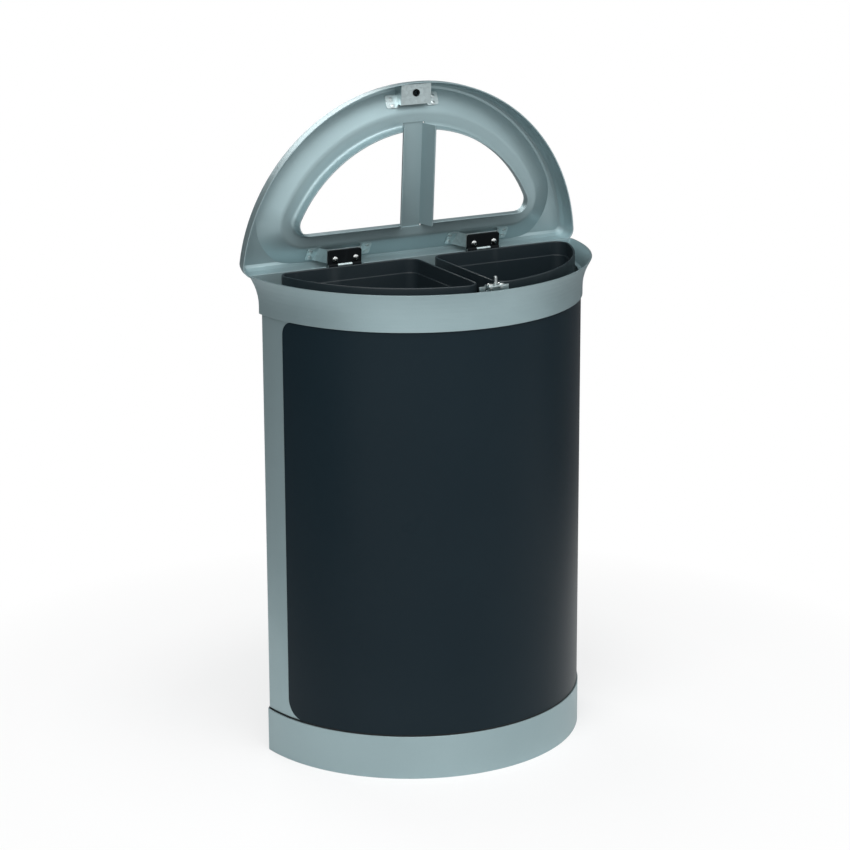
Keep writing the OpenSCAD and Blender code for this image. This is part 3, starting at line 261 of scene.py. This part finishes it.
def paleFloor(sizes):
    half = sizes["side"] / 2
    mesh = bpy.data.meshes.new("floor")
    mesh.from_pydata([(-half, -half, 0), (half, -half, 0), (half, half, 0), (-half, half, 0)],
                     [], [(0, 1, 2, 3)])
    floor = bpy.data.objects.new("floor", mesh)
    bpy.context.collection.objects.link(floor)
    recipe = Recipe("paleFloor")
    away = recipe.add("VectorMath", {0: recipe.place}, operation="LENGTH").outputs["Value"]
    axes = recipe.add("SeparateXYZ", {0: recipe.place}).outputs
    aside = recipe.combine(recipe.combine(axes["X"], 0, "ABSOLUTE"), sizes["spread"],
                           "MULTIPLY")
    ahead = recipe.combine(recipe.combine(axes["Y"], -1, "MULTIPLY"), aside, "SUBTRACT")
    # Painted shade: share of the dark floor colour, which grows farther out at the sides and
    # back.
    paintedShadeShare = recipe.combine(recipe.span(ahead, sizes["ahead"], 1, 0),
                            recipe.span(away, sizes["out"], 0, 1), "MULTIPLY")
    colour = recipe.mixColour(paintedShadeShare, sizes["pale"], sizes["paintedShadeColour"])
    pale = recipe.add("BsdfDiffuse", {"Color": colour})
    plain = recipe.add("Emission", {"Color": white, "Strength": 1})
    ray = recipe.add("LightPath")
    unshaded = recipe.combine(1, recipe.span(away, sizes["fade"], sizes["shadow"], 0), "SUBTRACT")
    share = recipe.combine(ray.outputs["Is Camera Ray"], unshaded, "MULTIPLY")
    mixed = recipe.add("MixShader", {0: share, 1: pale.outputs["BSDF"],
                                     2: plain.outputs["Emission"]})
    out = recipe.add("OutputMaterial")
    recipe.tree.links.new(mixed.outputs["Shader"], out.inputs["Surface"])
    mesh.materials.append(recipe.material)


# Studio walls: white to the camera. To the bin they are pale ahead and overhead and dim
# at the sides: strength by the agreement of the direction with the pale one.
wallSizes = {"pale": (0.12, -0.95, 0.28), "band": (-0.15, 0.60), "strength": (0.05, 0.90),
             "tint": (0.96, 0.99, 1.0, 1)}


def studioWalls(sizes):
    world = bpy.data.worlds.new("studio")
    bpy.context.scene.world = world
    world.use_nodes = True
    tree = world.node_tree
    tree.nodes.clear()

    def add(kind, **values):
        made = tree.nodes.new("ShaderNode" + kind)
        for key, value in values.items():
            made.inputs[key.replace("_", " ")].default_value = value
        return made

    seen = add("Background", Color=white, Strength=1)
    around = add("Background", Color=sizes["tint"])
    toward = add("VectorMath")
    toward.operation = "DOT_PRODUCT"
    toward.inputs[1].default_value = sizes["pale"]
    strength = add("MapRange", From_Min=sizes["band"][0], From_Max=sizes["band"][1],
                   To_Min=sizes["strength"][0], To_Max=sizes["strength"][1])
    strength.interpolation_type = "SMOOTHSTEP"
    mixed = add("MixShader")
    wires = ((add("TexCoord").outputs["Generated"], toward.inputs[0]),
             (toward.outputs["Value"], strength.inputs["Value"]),
             (strength.outputs["Result"], around.inputs["Strength"]),
             (add("LightPath").outputs["Is Camera Ray"], mixed.inputs[0]),
             (around.outputs[0], mixed.inputs[1]), (seen.outputs[0], mixed.inputs[2]),
             (mixed.outputs[0], add("OutputWorld").inputs["Surface"]))
    for source, target in wires:
        tree.links.new(source, target)


# Soft boxes: place, the point they face, width and height in metres, power in watts.
softBoxes = {
    "keyLeft": {"place": (-2.7, -2.5, 3.2), "aim": (0, -0.3, 0.4), "size": (2.4, 1.8),
                "power": 62},
    "overFloor": {"place": (-0.2, -1.6, 3.4), "aim": (-0.1, -1.1, 0), "size": (2.6, 1.6),
                  "power": 60},
    "backHigh": {"place": (0, 2.6, 2.2), "aim": (0, 0, 0.6), "size": (1.8, 1.2),
                 "power": 28}}


def softBox(name, box):
    light = bpy.data.lights.new(name, "AREA")
    light.shape = "RECTANGLE"
    light.size, light.size_y = box["size"]
    light.energy = box["power"]
    lamp = bpy.data.objects.new(name, light)
    bpy.context.collection.objects.link(lamp)
    lamp.location = box["place"]
    facing = Vector(box["aim"]) - Vector(box["place"])
    lamp.rotation_euler = facing.to_track_quat("-Z", "Y").to_euler()


paleFloor(floorSizes)
studioWalls(wallSizes)
for name, settings in softBoxes.items():
    softBox(name, settings)
print("stage set")


# Camera: its place in metres, its view turned by yaw, pitch and roll in degrees, and its
# lens in millimetres.
view = {"place": (-2.2611, -4.2972, 1.9373), "yaw": 27.948, "pitch": 15.827,
        "roll": -0.227, "lens": 119.43}


def photoCamera(shot):
    yaw, pitch, roll = (math.radians(shot[k]) for k in ("yaw", "pitch", "roll"))
    right = Vector((math.cos(yaw), -math.sin(yaw), 0))
    ahead = Vector((math.cos(pitch) * math.sin(yaw), math.cos(pitch) * math.cos(yaw),
                    -math.sin(pitch)))
    up = right.cross(ahead)
    sideways = right * math.cos(roll) + up * math.sin(roll)
    upwards = up * math.cos(roll) - right * math.sin(roll)
    data = bpy.data.cameras.new("photo")
    data.lens = shot["lens"]
    camera = bpy.data.objects.new("photo", data)
    bpy.context.collection.objects.link(camera)
    turn = Matrix((sideways, upwards, -ahead)).transposed().to_4x4()
    camera.matrix_world = Matrix.Translation(Vector(shot["place"])) @ turn
    bpy.context.scene.camera = camera


photoCamera(view)
bpy.context.scene.view_settings.view_transform = "Standard"
print("camera set")

print("scene ready")
